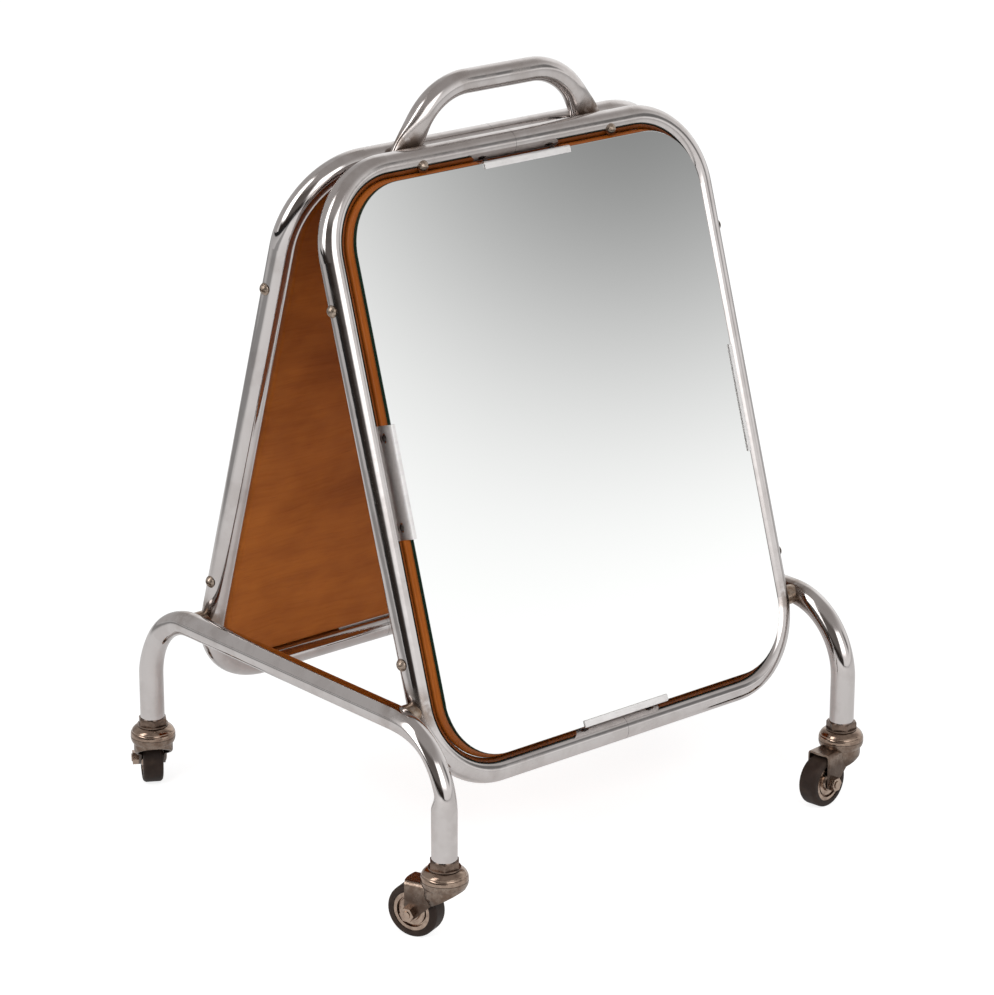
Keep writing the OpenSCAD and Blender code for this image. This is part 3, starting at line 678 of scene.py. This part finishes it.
def makeHandle(look, topZ):
    bend = look["bend"]
    slope = math.atan2(look["rise"], look["footX"] - look["cornerX"])
    flat = look["cornerX"] - bend * math.tan(slope / 2)
    crown = topZ + look["rise"]
    turnX = flat + bend * math.sin(slope)
    turnZ = crown - bend * (1 - math.cos(slope))
    leg = (turnZ - topZ - look["footLift"]) / math.sin(slope)

    def pinch(run):  # share of pinching at a distance down from where the straight leg starts
        return eased((run - leg) / look["pinchLength"] + 1)

    # stations from the middle to a foot: place in X and Z, direction, and share of pinching
    half = [(flat * step / look["topSteps"], crown, 0.0, 0.0) for step in range(look["topSteps"])]
    for step in range(look["bendSteps"] + 1):
        part = step / look["bendSteps"]
        angle = slope * part
        half.append((flat + bend * math.sin(angle), crown - bend * (1 - math.cos(angle)), angle,
                     pinch((part - 1) * slope * bend)))
    for step in range(1, look["legSteps"] + 1):
        run = (leg + look["overrun"]) * step / look["legSteps"]
        half.append((turnX + run * math.cos(slope), turnZ - run * math.sin(slope), slope, pinch(run)))
    stations = [(-1, station) for station in half[::-1]] + [(1, station) for station in half[1:]]

    def place(station, turn):
        side, (x, z, angle, share) = station
        power = 2 / (2 + (look["pinchedSquare"] - 2) * share)
        wide = look["radius"] + (look["pinchedWide"] - look["radius"]) * share
        thick = look["radius"] + (look["pinchedHalf"] - look["radius"]) * share
        across = wide * math.copysign(abs(math.cos(turn)) ** power, math.cos(turn))
        deep = thick * math.copysign(abs(math.sin(turn)) ** power, math.sin(turn))
        return side * (x + across * math.sin(angle)), deep, z + across * math.cos(angle)

    bm = rollTube(stations, look["sides"], place)
    bmesh.ops.bisect_plane(bm, geom=bm.verts[:] + bm.edges[:] + bm.faces[:], clear_outer=True,
                           plane_co=(0, 0, topZ + look["footLift"]), plane_no=(0, 0, -1))
    finishTube(bm, "handleTube", "handle")


makeHandle(handleShape, topZ)
print("handle ready")


# floor, room and lamps; azimuths are degrees from -Y towards +X, and strengths are of white
studio = {
    "floorSize": 60.0,
    "floorColour": rgb(0.86, 0.86, 0.86),
    "floorShare": 0.55,
    "mirroredShare": 0.22,
    "darkestShare": 0.95,
    "floorGlow": 1.22,
    "cameraGlow": 0.26,
    "leftAzimuth": -125.0,
    "leftDark": (0.75, 1.3),
    "leftFade": (1.9, 2.5),
    "leftFadeShare": 0.4,
    "leftShare": 0.78,
    "farAzimuth": -80.0,
    "farDark": (3.2, 5.0),
    "backAzimuth": 139.0,
    "greyBack": (0.35, 2.0),
    "greyShare": 0.5,
    "skyLow": rgb(1.08, 1.08, 1.08),
    "skyHigh": rgb(0.44, 0.42, 0.41),
    "skyRise": (5, 55),
    "roomLight": 0.55,
    "keyPlace": (-3.2, -1.2, 2.6),
    "keySize": 1.3,
    "keyPower": 60.0,
    "fillPlace": (-0.6, -3.6, 3.0),
    "fillSize": 1.4,
    "fillPower": 60.0,
    "lampAim": (0, 0, 0.3),
}

# what bright metal sees round it: colour, azimuths, heights, softness and share of each patch
roomPatches = {
    "sideWall": (rgb(1.15, 1.15, 1.15), (92, 150), (-5, 42), 10, 1.0),
    "dimCorner": (rgb(0.235, 0.235, 0.235), (38.5, 58), (8.8, 30), 4.4, 1.0),
    "backWall": (rgb(0.55, 0.54, 0.535), (152, 200), (-10, 60), 8, 1.0),
    "backWallLeft": (rgb(0.55, 0.54, 0.535), (-200, -126), (-10, 60), 8, 1.0),
    "darkCorner": (rgb(0.125, 0.11, 0.10), (-98, -30), (-4, 45), 9, 0.95),
    "darkStrip": (rgb(0.035, 0.028, 0.024), (-118, -26), (-8, 8), 4, 1.0),
    "keyPanel": (rgb(5.0, 5.0, 5.0), (-117, -94), (11, 62), 5, 1.0),
    "fillPanel": (rgb(3.2, 3.2, 3.2), (-28, 10), (13, 40), 5, 1.0),
}


def lightRays(f):
    path = f.tree.nodes.new("ShaderNodeLightPath")
    return [Wire(f.tree, path.outputs[name]) for name in
            ("Is Camera Ray", "Is Glossy Ray", "Is Transmission Ray")]


def makeFloor(look):
    bm = bmesh.new()
    bmesh.ops.create_grid(bm, x_segments=1, y_segments=1, size=look["floorSize"] / 2)
    mesh = bpy.data.meshes.new("paleFloor")
    bm.to_mesh(mesh)
    bm.free()
    floor = bpy.data.objects.new("paleFloor", mesh)
    bpy.context.scene.collection.objects.link(floor)
    f = Finish("paleFloor")
    straight, glossy, through = lightRays(f)
    axes = f.axes()

    def outward(azimuth):  # distance from the middle towards an azimuth
        return axes[0] * math.sin(math.radians(azimuth)) - axes[1] * math.cos(math.radians(azimuth))

    # metal sees the floor darken to the left and behind
    left = outward(look["leftAzimuth"])
    dark = left.ramp(*look["leftDark"]) * (1.0 - left.ramp(*look["leftFade"]) * look["leftFadeShare"])
    dark = dark * look["leftShare"]
    dark = dark.maths("MAXIMUM", outward(look["farAzimuth"]).ramp(*look["farDark"]))
    back = outward(look["backAzimuth"]).ramp(*look["greyBack"]) * look["greyShare"]
    dark = dark.maths("MAXIMUM", back) * glossy
    share = straight.maths("MAXIMUM", through) * look["floorShare"] + glossy * look["mirroredShare"]
    share = share + dark * (look["darkestShare"] - look["mirroredShare"])
    strength = (1.0 - dark) * look["floorGlow"] + straight * look["cameraGlow"]
    matte = f.node("ShaderNodeBsdfDiffuse", {}, {"Color": look["floorColour"]})
    glow = f.node("ShaderNodeEmission", {}, {"Color": white, "Strength": strength})
    f.close(f.node("ShaderNodeMixShader", {}, {0: share, 1: matte, 2: glow}))
    mesh.materials.append(f.material)


def makeRoom(look, patches):
    room = bpy.data.worlds.new("studioRoom")
    bpy.context.scene.world = room
    room.use_nodes = True
    f = Finish("studioRoom", room.node_tree)
    straight, glossy, through = lightRays(f)
    x, y, z = f.axes("Generated")
    azimuth = x.maths("ARCTAN2", y * -1.0) * math.degrees(1.0)
    height = z.maths("ARCSINE") * math.degrees(1.0)
    sky = f.blend(height.ramp(*look["skyRise"]), look["skyLow"], look["skyHigh"])
    for colour, sides, levels, soft, share in patches.values():
        inside = azimuth.window(*sides, soft) * height.window(*levels, soft)
        sky = f.blend(inside * share, sky, colour)
    sky = f.blend(straight, sky, white)
    light = f.node("ShaderNodeBackground", {}, {"Color": white, "Strength": look["roomLight"]})
    seen = f.node("ShaderNodeBackground", {}, {"Color": sky, "Strength": 1.0})
    share = straight.maths("MAXIMUM", glossy).maths("MAXIMUM", through)
    f.close(f.node("ShaderNodeMixShader", {}, {0: share, 1: light, 2: seen}), "ShaderNodeOutputWorld")


def makeLamp(name, place, size, power, target):
    lamp = bpy.data.lights.new(name, "AREA")
    lamp.shape = "DISK"
    lamp.size = size
    lamp.energy = power
    item = bpy.data.objects.new(name, lamp)
    aim = (Vector(target) - Vector(place)).to_track_quat("-Z", "Y")
    item.matrix_world = Matrix.Translation(place) @ aim.to_matrix().to_4x4()
    item.visible_glossy = False  # metal shows the panels of the room instead, which have soft edges
    bpy.context.scene.collection.objects.link(item)


makeFloor(studio)
makeRoom(studio, roomPatches)
makeLamp("keyLamp", studio["keyPlace"], studio["keySize"], studio["keyPower"], studio["lampAim"])
makeLamp("fillLamp", studio["fillPlace"], studio["fillSize"], studio["fillPower"], studio["lampAim"])
bpy.context.scene.view_settings.view_transform = "Standard"
print("studio ready")
